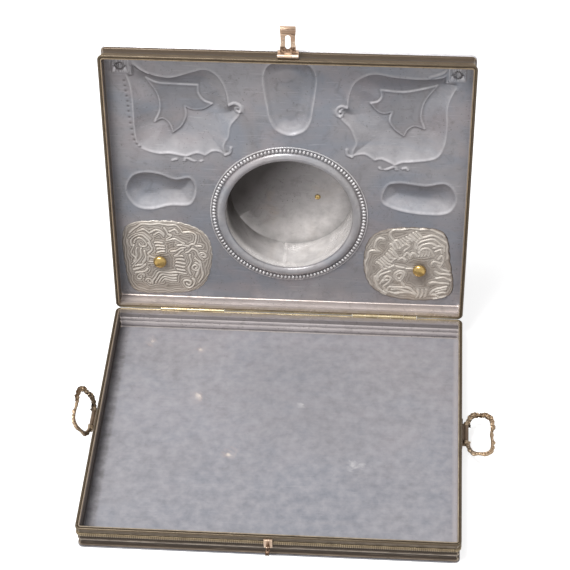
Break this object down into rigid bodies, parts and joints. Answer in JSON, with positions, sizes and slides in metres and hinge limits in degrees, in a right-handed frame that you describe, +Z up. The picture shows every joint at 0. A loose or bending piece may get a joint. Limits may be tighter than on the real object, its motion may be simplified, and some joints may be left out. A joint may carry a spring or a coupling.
{
  "type": "document box",
  "caption": "Shallow moulded metal box for papers, open, with a pressed lid, a deep round seal drum in the lid, bail handles and a slotted hasp.",
  "frame": {"origin": "centre of the tray's underside, on the surface that the box stands on", "axes": "+X to the right handle, +Y from the front to the hinge, +Z up; the lid stands open"},
  "size_m": [0.4389, 0.4204, 0.3707],
  "materials": {
    "silvered_sheet": "silvered sheet, tarnished and worn",
    "moulding_brass": "dark, worn at the edges",
    "gilt_brass": "worn gilding",
    "handle_bronze": "brown patina",
    "pin_steel": "dull"
  },
  "bodies": {
    "tray": {"tray_floor": "silvered_sheet", "tray_right_wall": "moulding_brass", "tray_back_wall": "moulding_brass", "tray_left_wall": "moulding_brass", "tray_front_wall": "moulding_brass", "tray_rim_wire": "moulding_brass", "tray_milled_bead": "silvered_sheet", "tray_hinge_leaves": "moulding_brass", "hinge_pins": "pin_steel", "staple": "silvered_sheet", "right_handle_bracket": "handle_bronze", "left_handle_bracket": "handle_bronze", "right_handle_pin": "pin_steel", "left_handle_pin": "pin_steel"},
    "lid": {"lid_panel": "silvered_sheet", "lid_right_wall": "moulding_brass", "lid_front_wall": "moulding_brass", "lid_left_wall": "moulding_brass", "lid_back_wall": "moulding_brass", "lid_rim_wire": "moulding_brass", "lid_hinge_leaves": "moulding_brass", "drum_wall": "silvered_sheet", "drum_end": "silvered_sheet", "drum_rivet": "pin_steel", "drum_ring": "silvered_sheet", "hasp_bracket": "silvered_sheet", "hasp_pin": "pin_steel", "left_ornament_plate": "silvered_sheet", "right_ornament_plate": "silvered_sheet", "left_knob": "gilt_brass", "right_knob": "gilt_brass", "left_pierced_plate": "silvered_sheet", "right_pierced_plate": "silvered_sheet"},
    "hasp": {"hasp": "silvered_sheet"},
    "right_handle": {"right_handle": "handle_bronze"},
    "left_handle": {"left_handle": "handle_bronze"}
  },
  "joints": [
    {"name": "lid_hinge", "type": "hinge", "parent": "tray", "child": "lid", "pos_m": [0, 0.15525, 0.02915], "axis": [1, 0, 0], "range_deg": [0, 98.3]},
    {"name": "hasp_hinge", "type": "hinge", "parent": "lid", "child": "hasp", "pos_m": [0.0012, 0.20647, 0.33764], "axis": [1, 0, 0], "range_deg": [0, 90]},
    {"name": "right_handle_pivot", "type": "hinge", "parent": "tray", "child": "right_handle", "pos_m": [0.1946, 0, 0.017], "axis": [0, -1, 0], "range_deg": [0, 95]},
    {"name": "left_handle_pivot", "type": "hinge", "parent": "tray", "child": "left_handle", "pos_m": [-0.1946, 0, 0.017], "axis": [0, 1, 0], "range_deg": [-55, 40]}
  ]
}
